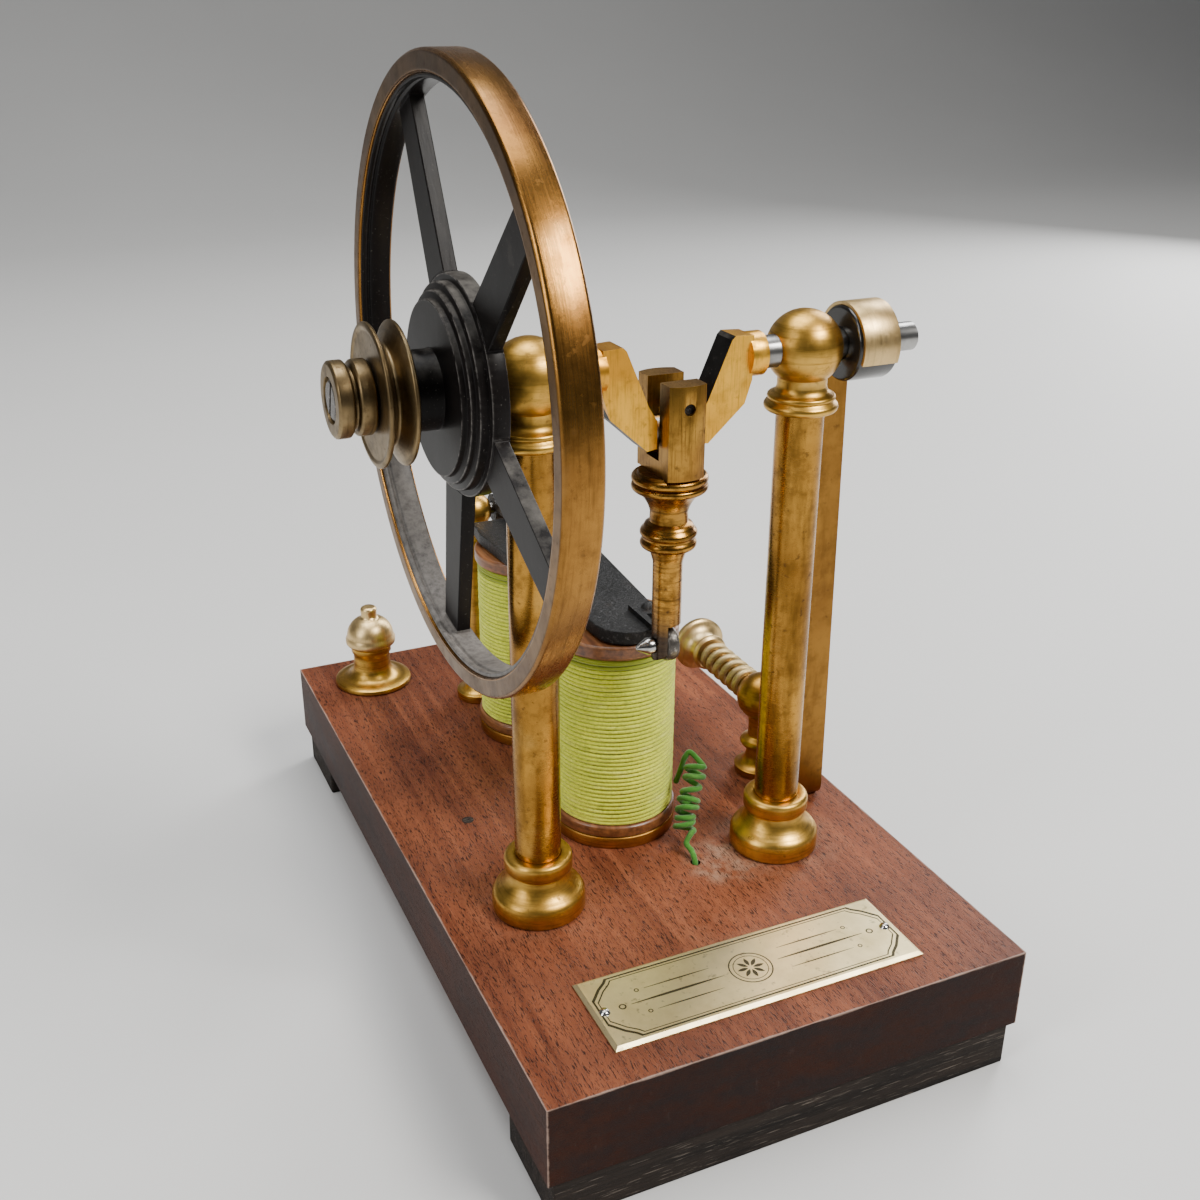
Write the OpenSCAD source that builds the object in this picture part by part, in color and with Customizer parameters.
// Electromagnetic beam engine on a wooden base.
// X runs along the crankshaft with the flywheel at -X, Y runs along the base to its rear, Z is up.
// The origin is on the table under the middle of the whole engine. Millimetres.

/* [Base] */
// Length of the base board
base_l = 180; // [170:1:200]
// Width of the base board
base_w = 102; // [98:1:120]
// Thickness of the base board
board_t = 17.5; // [14:0.5:20]
// Height of the battens under the board
batten_h = 10; // [8:0.5:14]
// Width of each batten
batten_w = 22; // [18:1:26]
// Length of the maker's plate
plate_l = 66.5; // [50:0.5:70]
// Width of the maker's plate
plate_w = 19.6; // [14:0.2:22]

/* [Columns] */
// Sideways place of the coils and the connecting rod
engine_x = 4.9; // [3.4:0.1:6.4]
// How far the base's middle lies to the right of them
base_shift = 2.5; // [0:0.5:4]
// Place of the crankshaft along the base
shaft_y = -36; // [-40:0.5:-34]
// Height of the crankshaft above the board
shaft_h = 111; // [108:0.5:114]
// Distance between the two columns
column_gap = 56; // [54:0.5:60]
// Radius of a column's tube
column_r = 4.7; // [4.4:0.1:5]
// Radius of a column's foot
foot_r = 9.6; // [8.6:0.1:9.8]
// Radius of a bearing ball
ball_r = 7.4; // [7:0.1:7.6]

/* [Crankshaft] */
// Radius of the shaft
shaft_r = 3.1; // [2.8:0.1:3.2]
// Throw of the crank
throw = 12.2; // [11:0.1:12.4]
// Radius of the crank pin
crank_pin_r = 2.5; // [2.2:0.1:2.6]
// Radial clearance of every shaft or pin in its bearing
run = 0.05; // [0.03:0.01:0.08]

/* [Flywheel] */
// Outer radius of the flywheel
wheel_r = 53.7; // [50:0.1:54]
// Width of the flywheel's rim
rim_w = 6.7; // [6:0.1:7]
// Number of spokes
spokes = 5; // [5:1:6]
// Angle of the first spoke, from the rear and upwards
spoke_angle = 64; // [0:1:90]
// Outer radius of the drive pulley
pulley_r = 12.2; // [11:0.1:13]

/* [Coils] */
// Place of the front coil along the base
front_coil_y = -12; // [-13:0.5:-11]
// Place of the rear coil along the base
rear_coil_y = 36; // [34:0.5:38]
// Radius of a bobbin's flanges
bobbin_r = 13.9; // [13:0.1:14.2]
// Radius of a winding
winding_r = 13.45; // [12:0.05:13.6]
// Height of a bobbin's top above the board
bobbin_h = 49.2; // [47:0.1:49.4]

/* [Armature] */
// Thickness of the armature plate
armature_t = 2.9; // [2:0.1:3]
// Place of the rear pivot along the base
pivot_y = 56; // [55:0.5:60]
// Radius of the rear pivot pin
pivot_pin_r = 1.5; // [1.2:0.1:1.6]

/* [Contacts] */
// Distance of the contact strip and its screw from the base's middle
contact_out = 38; // [37:0.5:39]
// Distance of each terminal from the base's middle
terminal_out = 34; // [30:0.5:36]
// Place of the terminals along the base
terminal_y = 76; // [74:0.5:78]

/* [Hidden] */
$fn = 64;

top = batten_h + board_t;
base_x = engine_x + base_shift;
contact_x = base_x + contact_out;
terminals = [base_x - terminal_out, base_x + terminal_out];
shaft_z = top + shaft_h;
crank_z = shaft_z - throw;
left_x = engine_x - column_gap / 2;
right_x = engine_x + column_gap / 2;
wheel_near = left_x - ball_r - 9;
wheel_far = wheel_near + rim_w;
batten_inset = 0.7;
batten_y = base_l / 2 - batten_inset - batten_w / 2;
plate_y = -72.5;
plate_x = base_x - 1.3;
nail_out = plate_l / 2 - 2.3;
stud_r = 2;
nut_deep = 5;
pivot_out = 8;
pivot_z = top + bobbin_h + 0.4 + armature_t;
eye_z = crank_z - 44.4;
post_y = -8;
post_z = top + 20;
lead_hole = [engine_x + 8.4, -36.4];
spoke_near = wheel_near + 2.9;
spoke_t = 2.6;
hoop_r = 50;
drum_x = right_x + ball_r + 0.5;
drum_l = 9;
sleeve_r = 8;
yoke_t = 5;
yoke_w = 12.4;
yoke_l = rear_coil_y - front_coil_y + 18;
small_posts = [
    [engine_x - pivot_out, pivot_y], [engine_x + pivot_out, pivot_y], [contact_x, post_y],
    [terminals[0], terminal_y], [terminals[1], terminal_y]
];
wire_runs = [
    [[terminals[0], terminal_y], [engine_x - 17.5, 58], [engine_x - 15.5, 46]],
    [lead_hole, [lead_hole[0] + 6, -44], [right_x, shaft_y]],
    [[contact_x, post_y], [contact_x + 6, 24], [terminals[1], terminal_y]]
];

// Points of a circular arc from angle a to angle b
function arc(c, r, a, b, n = 8) =
    [for (i = [0:n]) let (t = a + (b - a) * i / n) [c[0] + r * cos(t), c[1] + r * sin(t)]];

// A point on a smooth curve through hand-chosen points
function between(p, i, t) =
    let (
        a = p[max(i - 1, 0)],
        b = p[i],
        c = p[i + 1],
        d = p[min(i + 2, len(p) - 1)]
    )
    0.5 * (2 * b + (c - a) * t + (2 * a - 5 * b + 4 * c - d) * t * t
        + (3 * b - a - 3 * c + d) * t * t * t);
function smooth(p, n = 5) =
    concat([for (i = [0:len(p) - 2]) for (k = [0:n - 1]) between(p, i, k / n)], [p[len(p) - 1]]);
function unit(v) = v / norm(v);
function tangents(p) =
    [for (i = [0:len(p) - 1]) unit(p[min(i + 1, len(p) - 1)] - p[max(i - 1, 0)])];
function carried(t, n, i = 0) =
    i == len(t) ? [] : let (m = unit(n - t[i] * (n * t[i]))) concat([m], carried(t, m, i + 1));

// A round wire along a list of points
module wire(p, r, sides = 8) {
    t = tangents(p);
    n = carried(t, unit(cross(t[0], [0.31, 0.87, 0.12])));
    ring = [for (i = [0:len(p) - 1]) for (k = [0:sides - 1])
        p[i] + r * (cos(360 * k / sides) * n[i] + sin(360 * k / sides) * cross(t[i], n[i]))];
    last = (len(p) - 1) * sides;
    polyhedron(ring, concat(
        [[for (k = [sides - 1:-1:0]) k]],
        [for (i = [0:len(p) - 2]) for (k = [0:sides - 1])
            [i * sides + k, i * sides + (k + 1) % sides,
                (i + 1) * sides + (k + 1) % sides, (i + 1) * sides + k]],
        [[for (k = [0:sides - 1]) last + k]]
    ));
}

// A solid turned about a vertical line from an outline of [radius, height] points
module turned(outline) {
    rotate_extrude()
        polygon(outline);
}

// A cylinder along X that starts at x and is l long
module along_x(x, l, r) {
    translate([x, 0, 0])
        rotate([0, 90, 0])
        cylinder(h = l, r = r);
}

// A cylinder along Y that starts at y and is l long
module along_y(y, l, r) {
    translate([0, y, 0])
        rotate([-90, 0, 0])
        cylinder(h = l, r = r);
}

// Turned about X: outline of [radius, x] points
module turned_x(outline) {
    rotate([0, 90, 0])
        turned(outline);
}

module at_shaft() {
    translate([0, shaft_y, shaft_z])
        children();
}

// ---- Base ----

module groove(run_points) {
    for (i = [0:len(run_points) - 2]) {
        a = run_points[i];
        b = run_points[i + 1];
        translate([a[0], a[1], batten_h - 1])
            rotate(atan2(b[1] - a[1], b[0] - a[0]))
            translate([-1.3, -1.3, 0])
            cube([norm(b - a) + 2.6, 2.6, 3.6]);
    }
}

module base_board() {
    color([0.40, 0.19, 0.12])
        difference() {
            translate([base_x - base_w / 2, -base_l / 2, batten_h])
                cube([base_w, base_l, board_t]);
            for (x = [left_x, right_x])
                translate([x, shaft_y, 0]) {
                    cylinder(h = top + 1, r = stud_r + 0.1);
                    cylinder(h = batten_h + nut_deep, r = 6);
                }
            for (p = small_posts)
                translate([p[0], p[1], 0]) {
                    cylinder(h = top + 1, r = 1.6);
                    cylinder(h = batten_h + nut_deep, r = 4);
                }
            for (y = [front_coil_y, rear_coil_y])
                translate([engine_x, y, 0])
                    cylinder(h = top + 1, r = 5.1);
            translate([engine_x - yoke_w / 2, (front_coil_y + rear_coil_y - yoke_l) / 2, 0])
                cube([yoke_w, yoke_l, batten_h + yoke_t]);
            for (s = [-1, 1])
                translate([contact_x + s * 4.6, strip_hole_y, top - 8])
                    cylinder(h = 9, r = 1.05);
            translate([lead_hole[0], lead_hole[1], 0])
                cylinder(h = top + 1, r = 1.1);
            for (p = wire_runs)
                groove(p);
            batten_screw_places(batten_h - 1)
                cylinder(h = 10.6, r = 1.62);
        }
}

module batten_screw_places(z) {
    for (x = [base_x - 15, base_x + 15])
        for (y = [-batten_y, batten_y])
            translate([x, y, z])
                children();
}

module batten(y) {
    color([0.16, 0.13, 0.11])
        difference() {
            translate([base_x - base_w / 2 + 1.2, y - batten_w / 2, 0])
                cube([base_w - 2.4, batten_w, batten_h]);
            batten_screw_places(-1) {
                cylinder(h = batten_h + 2, r = 1.65);
                cylinder(h = 4.2, r = 3.4);
            }
        }
}

module front_batten() {
    batten(-batten_y);
}

module rear_batten() {
    batten(batten_y);
}

module batten_screws() {
    color([0.45, 0.44, 0.42])
        batten_screw_places(1)
        difference() {
            union() {
                turned([[0, 0], [3.2, 0], [3.2, 0.6], [1.6, 2.2], [0, 2.2]]);
                cylinder(h = 17.6, r = 1.6);
            }
            translate([-4, -0.4, -1])
                cube([8, 0.8, 1.8]);
        }
}

module name_plate() {
    x = plate_l / 2;
    y = plate_w / 2;
    color([0.66, 0.62, 0.50])
        translate([plate_x, plate_y, top])
        difference() {
            translate([-x, -y, 0])
                cube([plate_l, plate_w, 0.8]);
            for (s = [-1, 1])
                translate([s * nail_out, 0, -1])
                    cylinder(h = 3, r = 0.85);
        }
}

module plate_nails() {
    color([0.72, 0.70, 0.66])
        for (s = [-1, 1])
            translate([plate_x + s * nail_out, plate_y, top + 0.8])
                turned([[0, 0.7], each arc([0, -0.5], 1.2, 78, 25), [1.1, 0], [0.8, 0],
                    [0.8, -0.78], [0, -0.78]]);
}

// ---- Columns ----

module column_foot(x) {
    color([0.72, 0.52, 0.22])
        translate([x, shaft_y, top])
        turned([
            [stud_r + 0.1, 0], [foot_r - 0.4, 0], [foot_r, 0.5], [foot_r, 3.8], [foot_r - 0.3, 4.4],
            each arc([foot_r + 2.6, 10], 6.06, 237, 188, 6), [6.8, 9.6], [7, 10], [7, 11.8],
            each arc([5.9, 11.9], 1.1, 0, 80, 5), [column_r + 0.02, 13], [column_r + 0.02, 11],
            [stud_r + 0.1, 11]
        ]);
}

module left_column_foot() {
    column_foot(left_x);
}

module right_column_foot() {
    column_foot(right_x);
}

module column_tube(x) {
    color([0.68, 0.50, 0.22])
        translate([x, shaft_y, top + 11])
        difference() {
            cylinder(h = 87.9, r = column_r);
            translate([0, 0, -1])
                cylinder(h = 21, r = stud_r + 0.02);
            translate([0, 0, 81.9])
                cylinder(h = 7, r = 2.52);
        }
}

module left_column_tube() {
    column_tube(left_x);
}

module right_column_tube() {
    column_tube(right_x);
}

module bearing_head(x) {
    neck_z = shaft_h - sqrt(ball_r * ball_r - 4.8 * 4.8);
    ball_start = atan2(neck_z - shaft_h, 4.8);
    color([0.75, 0.55, 0.24])
        difference() {
            translate([x, shaft_y, top])
                turned([
                    [0, 93], [2.5, 93], [2.5, 98.9], [6.3, 98.9], each arc([6.2, 99.9], 1, -80, 70, 6),
                    [6.4, 101.1], each arc([6, 101.7], 0.6, -60, 90, 5),
                    each arc([6.6, 104], 1.8, 250, 180, 6), [4.8, neck_z],
                    each arc([0, shaft_h], ball_r, ball_start, 90, 18)
                ]);
            at_shaft()
                along_x(x - 10, 20, shaft_r + run);
        }
}

module left_bearing_head() {
    bearing_head(left_x);
}

module right_bearing_head() {
    bearing_head(right_x);
}

module column_studs() {
    color([0.55, 0.54, 0.52])
        for (x = [left_x, right_x])
            translate([x, shaft_y, batten_h - 3])
                cylinder(h = board_t + 3 + 30, r = stud_r);
}

// Hex nut on a washer, in a recess under the board
module under_nut(r_nut, r_hole, r_washer) {
    difference() {
        union() {
            translate([0, 0, batten_h + nut_deep - 0.8])
                cylinder(h = 0.8, r = r_washer);
            translate([0, 0, batten_h + nut_deep - 3.6])
                cylinder(h = 2.8, r = r_nut, $fn = 6);
        }
        cylinder(h = batten_h + nut_deep + 1, r = r_hole);
    }
}

module column_nuts() {
    color([0.68, 0.52, 0.25])
        for (x = [left_x, right_x])
            translate([x, shaft_y, 0])
                under_nut(4, stud_r + 0.02, 5.5);
}

// ---- Electromagnet ----

module coil_plate(y) {
    color([0.70, 0.50, 0.22])
        translate([engine_x, y, top])
        turned([
            [5.1, 0], [bobbin_r - 0.4, 0], [bobbin_r - 0.1, 0.1], [bobbin_r, 0.4], [bobbin_r, 2.4],
            [bobbin_r - 0.1, 2.7], [bobbin_r - 0.4, 2.8], [5.1, 2.8]
        ]);
}

module front_coil_plate() {
    coil_plate(front_coil_y);
}

module rear_coil_plate() {
    coil_plate(rear_coil_y);
}

module bobbin(y) {
    color([0.45, 0.26, 0.15])
        translate([engine_x, y, top])
        turned([
            [5.1, 2.8], [bobbin_r - 0.4, 2.8], [bobbin_r, 3.2], [bobbin_r, 5.2], [bobbin_r - 0.4, 5.6],
            [6.5, 5.6], [6.5, bobbin_h - 3.2], [bobbin_r - 0.4, bobbin_h - 3.2],
            [bobbin_r, bobbin_h - 2.8], [bobbin_r, bobbin_h - 0.4], [bobbin_r - 0.4, bobbin_h],
            [5.1, bobbin_h]
        ]);
}

module front_bobbin() {
    bobbin(front_coil_y);
}

module rear_bobbin() {
    bobbin(rear_coil_y);
}

module winding(y) {
    color([0.72, 0.80, 0.25])
        translate([engine_x, y, top + 5.62])
        difference() {
            cylinder(h = bobbin_h - 8.84, r = winding_r);
            translate([0, 0, -1])
                cylinder(h = bobbin_h, r = 6.52);
        }
}

module front_winding() {
    winding(front_coil_y);
}

module rear_winding() {
    winding(rear_coil_y);
}

module core(y) {
    color([0.20, 0.19, 0.19])
        translate([engine_x, y, batten_h + yoke_t])
        difference() {
            cylinder(h = board_t - yoke_t + bobbin_h, r = 5.05);
            translate([0, 0, -1])
                cylinder(h = 13, r = 1.52);
        }
}

module front_core() {
    core(front_coil_y);
}

module rear_core() {
    core(rear_coil_y);
}

module yoke_bar() {
    color([0.22, 0.21, 0.21])
        difference() {
            translate([
                engine_x - yoke_w / 2 + 0.2,
                (front_coil_y + rear_coil_y - yoke_l) / 2 + 0.2,
                batten_h
            ])
                cube([yoke_w - 0.4, yoke_l - 0.4, yoke_t]);
            for (y = [front_coil_y, rear_coil_y])
                translate([engine_x, y, 0])
                    cylinder(h = 30, r = 1.55);
        }
}

module yoke_screws() {
    color([0.50, 0.49, 0.47])
        for (y = [front_coil_y, rear_coil_y])
            translate([engine_x, y, batten_h - 2])
                difference() {
                    union() {
                        turned([[0, 0], [2.6, 0], [3.2, 0.7], [3.2, 2], [0, 2]]);
                        cylinder(h = 18, r = 1.5);
                    }
                    translate([-4, -0.4, -1])
                        cube([8, 0.8, 1.8]);
                }
}

// A lead that leaves the front winding, is curled into a pigtail and enters the board
module coil_lead() {
    turns = 7;
    curl_r = 1.9;
    axis = smooth(
        [[14.5, -24.6, 16.4], [11.9, -26.8, 11.5], [9.7, -28.8, 7.9], [8.9, -30.2, 4.6]], 33);
    hole = [8.4, lead_hole[1]];
    t = tangents(axis);
    n = carried(t, [0.6, -0.3, 0.75]);
    last = len(axis) - 1;
    curl = [for (i = [0:last]) let (a = 360 * turns * i / last)
        axis[i] + curl_r * (cos(a) * n[i] + sin(a) * cross(t[i], n[i]))];
    lead_in = smooth([[11.9, -19.8, 10.2], [12.2, -21.2, 13.8], [12.7, -22.2, 17.6],
        [13.9, -22.8, 18.8], curl[0]]);
    lead_out = smooth([curl[last], [8.1, -32.6, 2.8], [8.5, -34.2, 1.7],
        [hole[0], hole[1] + 0.8, 1], [hole[0], hole[1], -0.8], [hole[0], hole[1], -6]]);
    route = concat(
        [for (i = [0:len(lead_in) - 2]) lead_in[i]],
        curl,
        [for (i = [1:len(lead_out) - 1]) lead_out[i]]
    );
    color([0.25, 0.55, 0.20])
        wire([for (p = route) p + [engine_x, 0, top]], 0.6);
}

module base_wiring() {
    color([0.25, 0.45, 0.20])
        for (p = wire_runs) {
            last = len(p) - 1;
            a = p[0] + 4.3 * unit(p[1] - p[0]);
            b = p[last] - 4.3 * unit(p[last] - p[last - 1]);
            wire([for (q = [a, p[1], b]) [q[0], q[1], batten_h + 1.2]], 0.8);
        }
}

// ---- Rear pivot ----

module pivot_post(x) {
    h = pivot_z - top;
    r = 4.8;
    ball_start = -acos(2.6 / r);
    color([0.72, 0.52, 0.22])
        difference() {
            translate([x, pivot_y, top])
                turned([
                    [0, -15.5], [1.5, -15.5], [1.5, 0], [5.6, 0], [5.8, 0.4], [5.8, 2],
                    each arc([6.6, 6], 4, 258, 185, 6), [2.6, 8], [2.6, h - 8], [3.8, h - 7.4],
                    [3.8, h - 6.2], [2.6, h - 5.4], each arc([0, h], r, ball_start, 90, 14)
                ]);
            translate([0, pivot_y, pivot_z])
                along_x(x - 8, 16, pivot_pin_r + run);
        }
}

module left_pivot_post() {
    pivot_post(engine_x - pivot_out);
}

module right_pivot_post() {
    pivot_post(engine_x + pivot_out);
}

module pivot_pin() {
    color([0.60, 0.60, 0.60])
        translate([0, pivot_y, pivot_z])
        along_x(engine_x - pivot_out - 5.6, 2 * pivot_out + 11.2, pivot_pin_r);
}

module pivot_nuts() {
    color([0.68, 0.52, 0.25])
        for (s = [-1, 1])
            translate([engine_x + s * pivot_out, pivot_y, 0])
                under_nut(2.9, 1.52, 3.6);
}

// ---- Contacts ----

strip_t = 0.8;
strip_front = -24.5;
strip_lean = 3;
strip_h = 113;
strip_hole_y = strip_front + 6.6;
strip_foot = 9.9;

module contact_strip() {
    bend = 3;
    low = [strip_front + bend, bend];
    side = [
        [strip_front + strip_foot, 0], each arc(low, bend, 270, 180, 6),
        [strip_front - strip_lean, strip_h], [strip_front - strip_lean + strip_t, strip_h],
        each arc(low, bend - strip_t, 180, 270, 6), [strip_front + strip_foot, strip_t]
    ];
    color([0.62, 0.45, 0.20])
        difference() {
            intersection() {
                translate([contact_x - 10, 0, top])
                    rotate([90, 0, 90])
                    linear_extrude(20)
                    polygon(side);
                translate([contact_x, 10, top - 1])
                    rotate([90, 0, 0])
                    linear_extrude(60)
                    polygon([
                        [-7.6, 0], [7.6, 0], [3.8, strip_h - 2], [2.6, strip_h],
                        [-2.6, strip_h], [-3.8, strip_h - 2]
                    ]);
            }
            for (s = [-1, 1])
                translate([contact_x + s * 4.6, strip_hole_y, top - 1])
                    cylinder(h = 3, r = 1.1);
        }
}

module strip_screws() {
    color([0.70, 0.54, 0.26])
        for (s = [-1, 1])
            translate([contact_x + s * 4.6, strip_hole_y, top + strip_t])
                difference() {
                    union() {
                        turned([[0, 0], [2.1, 0], each arc([0, -1], 2.3, 28, 90, 6)]);
                        translate([0, 0, -8.6])
                            cylinder(h = 9, r = 1);
                    }
                    translate([-3, -0.3, 0.7])
                        cube([6, 0.6, 2]);
                }
}

module contact_post() {
    h = post_z - top;
    r = 5.8;
    ball_start = -acos(2.9 / r);
    color([0.70, 0.52, 0.24])
        difference() {
            translate([contact_x, post_y, top])
                turned([
                    [0, -15.5], [1.5, -15.5], [1.5, 0], [5.4, 0], [5.6, 0.4], [5.6, 1.6],
                    each arc([6.4, 5.2], 3.4, 258, 188, 6), [2.8, 6.6], [4.2, 7.4], [4.6, 8.2],
                    [4.2, 9], [2.8, 9.8], [2.7, 12], each arc([0, h], r, ball_start, 90, 16)
                ]);
            translate([contact_x, 0, post_z])
                along_y(post_y - 8, 16, 2.05);
        }
}

module contact_nut() {
    color([0.68, 0.52, 0.25])
        translate([contact_x, post_y, 0])
        under_nut(2.9, 1.52, 3.6);
}

module contact_spring() {
    coils = 5;
    wire_r = 0.85;
    mean_r = 3;
    start = post_y + 5.8;
    pitch = (16.2 - start) / coils;
    color([0.66, 0.58, 0.40])
        translate([contact_x, start + 0.2, post_z])
        rotate([-90, 0, 0])
        turned(concat(
            [[2.3, 0.2]],
            [for (i = [0:coils - 1]) each
                arc([mean_r, (i + 0.5) * pitch], wire_r + 0.1, -60, 60, 6)],
            [[2.3, coils * pitch - 0.2]]
        ));
}

module contact_screw() {
    tip = strip_front + 1.1;
    knob_y = 16.8;
    color([0.76, 0.60, 0.34])
        translate([contact_x, 0, post_z])
        rotate([-90, 0, 0])
        turned([
            [0, tip - 0.4], [1.2, tip - 0.4], [2, tip + 0.6], [2, knob_y], [4, knob_y],
            [4.6, knob_y + 0.6], [4.6, knob_y + 1.2], [4, knob_y + 1.8],
            each arc([6.9, knob_y + 2.4], 3.4, 180, 100, 6), [6.8, knob_y + 6.2],
            each arc([0, knob_y + 3.2], 7.9, 32, 90, 12)
        ]);
}

module terminal_post(x) {
    color([0.74, 0.56, 0.26])
        translate([x, terminal_y, top])
        turned([
            [0, -15.5], [1.5, -15.5], [1.5, 0], [9.9, 0], [10.2, 0.4], [10, 1.2], [8.7, 1.7],
            each arc([8.6, 5.4], 3.7, 258, 185, 6), [4.8, 8.4], [5.3, 9.2], [5.3, 10.6], [4.8, 11],
            [1.5, 11], [1.5, 17.5], [0, 17.5]
        ]);
}

module left_terminal_post() {
    terminal_post(terminals[0]);
}

module right_terminal_post() {
    terminal_post(terminals[1]);
}

module thumb_nut(x) {
    color([0.76, 0.62, 0.38])
        translate([x, terminal_y, top])
        turned([
            [1.55, 11.3], [5.9, 11.3], each arc([5.9, 12], 0.7, -70, 0, 3), [6.6, 13], [6.3, 13.5],
            each arc([0.8, 13.6], 5.4, 4, 72, 9), [2.1, 19.2], [2.1, 20],
            each arc([1.3, 21], 0.9, -20, 90, 5), [0, 21.9], [0, 18.2], [1.55, 18.2]
        ]);
}

module left_thumb_nut() {
    thumb_nut(terminals[0]);
}

module right_thumb_nut() {
    thumb_nut(terminals[1]);
}

module terminal_nuts() {
    color([0.68, 0.52, 0.25])
        for (x = terminals)
            translate([x, terminal_y, 0])
                under_nut(2.9, 1.52, 3.6);
}

// ---- Crankshaft ----

web_in = 4.3;
web_out = 15.2;

module crankshaft_left() {
    start = wheel_near - 16.4;
    color([0.60, 0.60, 0.60])
        at_shaft()
        along_x(start, engine_x - web_out - start, shaft_r);
}

module crankshaft_right() {
    start = engine_x + web_out;
    end = drum_x + drum_l;
    end_r = shaft_r - 0.3;
    color([0.60, 0.60, 0.60])
        at_shaft()
        turned_x([
            [0, start], [shaft_r, start], [shaft_r, end + 0.1], [end_r, end + 0.1],
            [end_r, end + 7.3], [end_r - 0.4, end + 7.7], [0, end + 7.7]
        ]);
}

// One slanted crank web with its collar, on the side s of the connecting rod
module crank_web(s) {
    depth = 5.8;
    outline = [
        [web_in, -throw - 2.9], [6.3, -throw - 3.2], [13.8, -8.6], [web_out, -4.2],
        [web_out, 4.1], [11.3, 4.3], [10.6, 3.6], [6, -7.2], [web_in, -9.8]
    ];
    color([0.74, 0.55, 0.22])
        at_shaft()
        translate([engine_x, 0, 0])
        mirror([s < 0 ? 1 : 0, 0, 0])
        difference() {
            union() {
                translate([0, depth / 2, 0])
                    rotate([90, 0, 0])
                    linear_extrude(depth)
                    polygon(outline);
                along_x(web_out - 0.6, 3.4, 4.2);
            }
            along_x(web_out, 4, shaft_r + 0.01);
            translate([0, 0, -throw])
                along_x(web_in - 1, 3.4, crank_pin_r + 0.01);
        }
}

module left_web() {
    crank_web(-1);
}

module right_web() {
    crank_web(1);
}

module crank_pin() {
    color([0.55, 0.55, 0.55])
        at_shaft()
        translate([0, 0, -throw])
        along_x(engine_x - web_in - 2.4, 2 * web_in + 4.8, crank_pin_r);
}

module flywheel_rim() {
    color([0.60, 0.44, 0.22])
        at_shaft()
        turned_x([
            [hoop_r + 0.02, wheel_near + 0.2], [hoop_r + 0.4, wheel_near], [wheel_r - 0.5, wheel_near],
            [wheel_r, wheel_near + 0.5], [wheel_r, wheel_far - 0.5], [wheel_r - 0.5, wheel_far],
            [hoop_r + 0.4, wheel_far], [hoop_r + 0.02, wheel_far - 0.2]
        ]);
}

module flywheel_spider() {
    color([0.09, 0.08, 0.08])
        at_shaft() {
            turned_x([
                [hoop_r, wheel_near + 0.5], [hoop_r, wheel_far - 0.5], [hoop_r - 0.6, wheel_far - 0.5],
                [hoop_r - 0.8, wheel_far - 0.7], [hoop_r - 0.8, wheel_near + 2.2],
                [hoop_r - 0.4, wheel_near + 2], [hoop_r - 0.4, wheel_near + 1.6],
                [hoop_r - 0.8, wheel_near + 1.4], [hoop_r - 0.8, wheel_near + 0.7],
                [hoop_r - 0.6, wheel_near + 0.5]
            ]);
            difference() {
                union() {
                    turned_x([
                        [0, wheel_near - 6.6], [6.9, wheel_near - 6.6], [6.9, wheel_near - 1.2],
                        [15, wheel_near - 1.2], [15, wheel_near - 0.2], [16.4, wheel_near],
                        [16.4, wheel_near + 0.9], [17.7, wheel_near + 1.1],
                        [17.7, spoke_near - 0.2], [19, spoke_near - 0.2],
                        [19, spoke_near + spoke_t + 0.2],
                        [7, spoke_near + spoke_t + 1.4], [0, spoke_near + spoke_t + 1.4]
                    ]);
                    for (i = [0:spokes - 1])
                        rotate([spoke_angle + 360 * i / spokes, 0, 0])
                            translate([spoke_near, 0, 0])
                            rotate([90, 0, 90])
                            linear_extrude(spoke_t)
                            polygon([[10, -4.8], [hoop_r - 0.4, -3.5], [hoop_r - 0.4, 3.5], [10, 4.8]]);
                }
                along_x(wheel_near - 10, 30, shaft_r + 0.02);
            }
        }
}

module drive_pulley() {
    a = wheel_near - 12.3;
    color([0.52, 0.42, 0.26])
        at_shaft()
        turned_x([
            [shaft_r + 0.02, a + 0.3], [pulley_r - 1.4, a + 0.3], [pulley_r - 0.8, a],
            [pulley_r, a + 0.2], [pulley_r, a + 0.8], [8.6, a + 2.4], [8.6, a + 3],
            [pulley_r, a + 4.6], [pulley_r, a + 5.2], [pulley_r - 0.8, a + 5.5],
            [shaft_r + 0.02, a + 5.5]
        ]);
}

module end_nut() {
    a = wheel_near - 18.9;
    color([0.50, 0.38, 0.24])
        at_shaft()
        turned_x([
            [3.9, a], [6, a], [6.5, a + 0.4], [6.5, a + 2.5], [6, a + 2.9], [5.2, a + 3],
            [5.2, a + 3.6], [6, a + 3.7], [6.4, a + 4.1], [6.4, a + 6.2], [6, a + 6.6],
            [shaft_r + 0.02, a + 6.6], [shaft_r + 0.02, a + 1.6], [3.9, a + 1.6]
        ]);
}

module end_screw() {
    a = wheel_near - 18.9;
    color([0.62, 0.61, 0.59])
        at_shaft()
        difference() {
            turned_x([
                [0, a + 0.1], [3, a + 0.1], [3.7, a + 0.6], [3.7, a + 1.5], [1.4, a + 1.5],
                [1.4, a + 2.48], [0, a + 2.48]
            ]);
            rotate([20, 0, 0])
                translate([a - 1, -0.45, -5])
                cube([1.9, 0.9, 10]);
        }
}

module commutator_drum() {
    color([0.06, 0.06, 0.06])
        at_shaft()
        turned_x([
            [shaft_r + 0.02, drum_x], [6.9, drum_x], [sleeve_r - 0.72, drum_x + 0.4],
            [sleeve_r - 0.72, drum_x + drum_l - 0.4], [6.9, drum_x + drum_l],
            [shaft_r + 0.02, drum_x + drum_l]
        ]);
}

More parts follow.
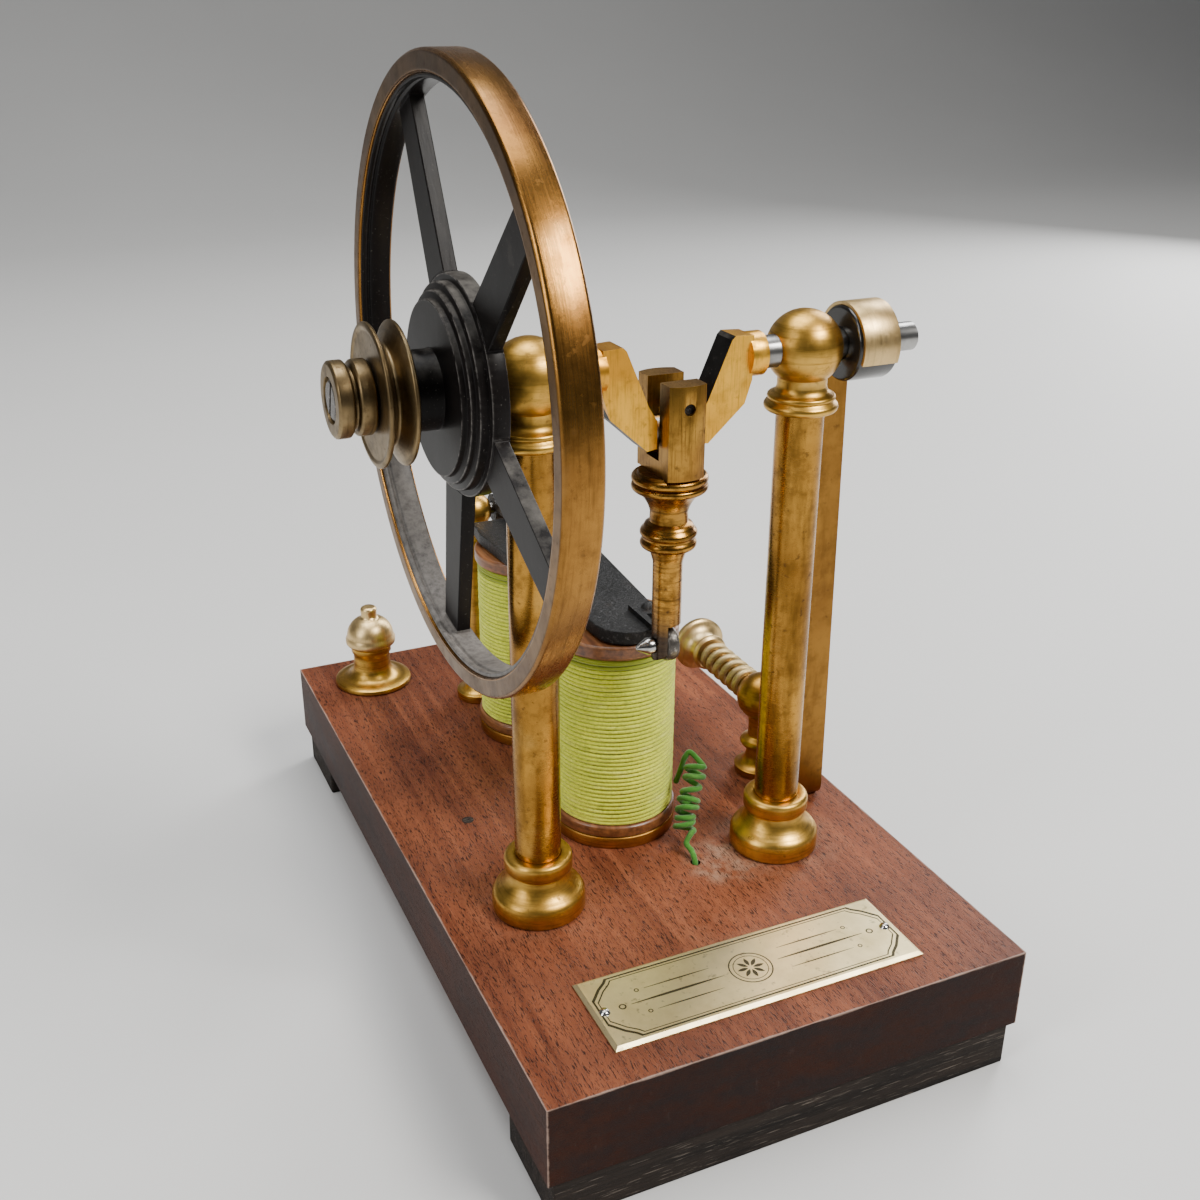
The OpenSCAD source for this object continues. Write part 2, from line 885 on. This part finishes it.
// The brass half-sleeve reaches over the drum's top, from its rear to below its front
module commutator_sleeve() {
    color([0.72, 0.58, 0.36])
        at_shaft()
        rotate([22, 0, 0])
        translate([drum_x + 0.5, 0, 0])
        rotate([0, 90, 0])
        rotate(90)
        rotate_extrude(angle = 180)
        translate([sleeve_r - 0.7, 0])
        square([0.7, drum_l - 1]);
}

// ---- Connecting rod ----

module rod_fork() {
    low = crank_z - 8.4;
    high = crank_z + 9.4;
    color([0.66, 0.50, 0.24])
        difference() {
            intersection() {
                translate([engine_x, shaft_y, low])
                    cylinder(h = high - low, r = 7.4);
                translate([engine_x - 3.75, shaft_y - 8, low])
                    cube([7.5, 16, high - low]);
            }
            translate([engine_x - 5, shaft_y - crank_pin_r - run, crank_z - 5.4])
                cube([10, 2 * (crank_pin_r + run), 20]);
            translate([engine_x, 0, crank_z + 5.1])
                along_y(shaft_y - 9, 18, 1.12);
        }
}

module rod_shank() {
    seat = crank_z - 8.4 - top;
    bead = seat - 13.2;
    r = 2.9;
    color([0.68, 0.50, 0.23])
        difference() {
            translate([engine_x, shaft_y, top])
                turned([
                    [0, seat], [6, seat], [6.3, seat - 0.5], each arc([6.4, seat - 1.3], 0.95, 70, -70, 6),
                    [6.7, seat - 2.3], each arc([6.5, seat - 2.9], 0.85, 40, -60, 5),
                    each arc([10.9, seat - 9.6], 7.4, 125, 168, 8), [3.7, seat - 9], [3.7, seat - 10],
                    [4.6, seat - 10.5], each arc([4.6, bead + 1], 0.95, 60, -60, 5), [5, bead - 0.2],
                    each arc([4.5, bead - 1.2], 1, 50, -60, 5), [3.7, bead - 2.4],
                    [r, bead - 5.2], [r, eye_z - top - 3.2], [0, eye_z - top - 3.2]
                ]);
            translate([engine_x - 0.95, shaft_y - 8, eye_z - 8])
                cube([8, 16, 8 + 4.6]);
            translate([0, shaft_y, eye_z])
                difference() {
                    translate([engine_x - 5, -5, -5])
                        cube([10, 10, 5]);
                    along_x(engine_x - 6, 12, 3.1);
                }
            translate([0, shaft_y, eye_z])
                along_x(engine_x - 6, 12, 1.12);
        }
}

module fork_pin() {
    color([0.66, 0.66, 0.66])
        translate([engine_x, 0, crank_z + 5.1])
        along_y(shaft_y - 6.5, 13, 1.1);
}

module rod_eye() {
    color([0.34, 0.32, 0.31])
        translate([0, shaft_y, eye_z])
        turned_x([
            [1.12, engine_x - 0.93], [3.3, engine_x - 0.93], [3.6, engine_x - 0.5],
            [3.6, engine_x + 1.1], [3.3, engine_x + 1.5], [1.12, engine_x + 1.5]
        ]);
}

module rod_pin() {
    color([0.72, 0.72, 0.72])
        translate([0, shaft_y, eye_z])
        turned_x([
            [0, engine_x - 6.6], [0.5, engine_x - 6.4], [1.7, engine_x - 4.2], [1.7, engine_x - 3],
            [1.1, engine_x - 2.9], [1.1, engine_x + 1.5], [0, engine_x + 1.5]
        ]);
}

// ---- Armature ----

module armature_plate() {
    front = [for (i = [0:12]) let (a = 180 + 15 * i) [7.6 * cos(a), -18.7 + 7.1 * sin(a)]];
    color([0.15, 0.145, 0.14])
        translate([engine_x, 0, pivot_z - armature_t])
        linear_extrude(armature_t)
        polygon(concat(front, [[11.9, 40], [11, 47.4], [-11, 47.4], [-11.9, 40]]));
}

// The lug that reaches to the connecting rod, the hinge tail and their rivets
module armature_fittings() {
    lug_x = engine_x + 1.75;
    tail_w = 5.6;
    color([0.30, 0.29, 0.28]) {
        translate([0, 0, pivot_z]) {
            translate([lug_x, -30.2, -1.6])
                cube([1.4, 4, 3.8]);
            translate([lug_x, -26.4, 0])
                cube([1.4, 11.4, 1.2]);
            translate([lug_x, -20.8, 0])
                cube([5.4, 5.8, 1.2]);
            translate([lug_x + 3.3, -17.9, 1.2])
                turned([[0, 0], [1.5, 0], each arc([0, -0.4], 1.55, 15, 90, 5)]);
            difference() {
                union() {
                    translate([engine_x - tail_w / 2, 36, 0])
                        cube([tail_w, pivot_y - 36, 2]);
                    translate([0, pivot_y, 0])
                        along_x(engine_x - tail_w / 2, tail_w, 3.4);
                }
                translate([0, pivot_y, 0])
                    along_x(engine_x - 6, 12, pivot_pin_r + run);
                translate([engine_x - 5, 44, -8])
                    cube([10, 4.2, 8]);
            }
            for (y = [38.6, 44])
                translate([engine_x, y, 2])
                    turned([[0, 0], [1.6, 0], each arc([0, -0.4], 1.65, 14, 90, 5)]);
        }
    }
}

base_board();
front_batten();
rear_batten();
batten_screws();
name_plate();
plate_nails();
left_column_foot();
right_column_foot();
left_column_tube();
right_column_tube();
left_bearing_head();
right_bearing_head();
column_studs();
column_nuts();
front_coil_plate();
rear_coil_plate();
front_bobbin();
rear_bobbin();
front_winding();
rear_winding();
front_core();
rear_core();
yoke_bar();
yoke_screws();
coil_lead();
base_wiring();
left_pivot_post();
right_pivot_post();
pivot_pin();
pivot_nuts();
contact_strip();
strip_screws();
contact_post();
contact_nut();
contact_spring();
contact_screw();
left_terminal_post();
right_terminal_post();
terminal_nuts();
left_thumb_nut();
right_thumb_nut();
crankshaft_left();
crankshaft_right();
left_web();
right_web();
crank_pin();
flywheel_rim();
flywheel_spider();
drive_pulley();
end_nut();
end_screw();
commutator_drum();
commutator_sleeve();
rod_fork();
rod_shank();
fork_pin();
rod_eye();
rod_pin();
armature_plate();
armature_fittings();
